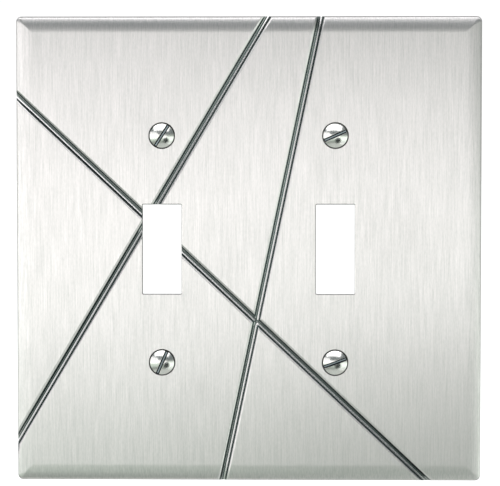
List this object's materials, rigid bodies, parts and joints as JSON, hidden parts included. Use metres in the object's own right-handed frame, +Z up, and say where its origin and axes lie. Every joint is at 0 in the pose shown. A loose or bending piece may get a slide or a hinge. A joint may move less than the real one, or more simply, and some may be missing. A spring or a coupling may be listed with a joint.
{
  "type": "two-gang toggle switch wall plate",
  "caption": "Square stamped metal wall plate for side-by-side toggle switches, with crossing pressed grooves, rectangular lever openings and slotted oval-head screws.",
  "frame": {"origin": "centre of the plate's outline, on the wall plane that the back rim rests against", "axes": "+Z up the wall, +X to the right seen from the room, +Y into the wall, so the face looks along -Y"},
  "size_m": [0.1234, 0.0168, 0.1234],
  "materials": {
    "brushed_nickel": "vertical fine brushing, satin",
    "polished_nickel": "polished, turned"
  },
  "bodies": {
    "plate": {"wall_plate": "brushed_nickel"},
    "top_left_screw": {"screw_top_left": "polished_nickel"},
    "top_right_screw": {"screw_top_right": "polished_nickel"},
    "bottom_left_screw": {"screw_bottom_left": "polished_nickel"},
    "bottom_right_screw": {"screw_bottom_right": "polished_nickel"}
  },
  "joints": [
    {"name": "top_left_screw_backs_out", "type": "slide", "parent": "plate", "child": "top_left_screw", "axis": [0, -1, 0], "range_m": [0, 0.014]},
    {"name": "top_right_screw_backs_out", "type": "slide", "parent": "plate", "child": "top_right_screw", "axis": [0, -1, 0], "range_m": [0, 0.014]},
    {"name": "bottom_left_screw_backs_out", "type": "slide", "parent": "plate", "child": "bottom_left_screw", "axis": [0, -1, 0], "range_m": [0, 0.014]},
    {"name": "bottom_right_screw_backs_out", "type": "slide", "parent": "plate", "child": "bottom_right_screw", "axis": [0, -1, 0], "range_m": [0, 0.014]}
  ]
}
